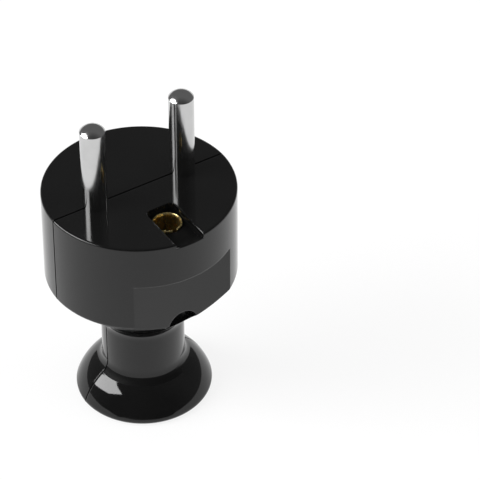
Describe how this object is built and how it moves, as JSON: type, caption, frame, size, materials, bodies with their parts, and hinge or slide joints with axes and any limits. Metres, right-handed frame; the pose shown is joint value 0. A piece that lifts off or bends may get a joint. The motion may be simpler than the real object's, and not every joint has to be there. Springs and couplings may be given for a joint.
{
  "type": "rewireable power plug",
  "caption": "Round-pin mains plug in a split black moulded housing with a drum, a cone, a neck and a flared cord mouth, and a brass earth contact sunk in its face.",
  "frame": {"origin": "on the plug's axis, at the end of the flared cord mouth that it stands on", "axes": "+Z along the pins towards their tips, +X from the left pin to the right pin, -Y towards the half with the earth contact"},
  "size_m": [0.037, 0.0366, 0.0674],
  "materials": {
    "housing_black": "glossy moulded",
    "pin_nickel": "polished nickel plate",
    "contact_brass": "bright rolled brass",
    "screw_steel": "bright zinc plate",
    "grip_plastic": "matt moulded"
  },
  "bodies": {
    "root": {"front_shell": "housing_black", "rear_shell": "housing_black", "left_pin": "pin_nickel", "right_pin": "pin_nickel", "left_terminal": "contact_brass", "right_terminal": "contact_brass", "left_terminal_screw": "screw_steel", "right_terminal_screw": "screw_steel", "earth_contact": "contact_brass", "earth_washer": "screw_steel", "earth_screw": "screw_steel", "cord_grip": "grip_plastic", "housing_screw": "screw_steel", "housing_nut": "screw_steel"}
  },
  "joints": []
}
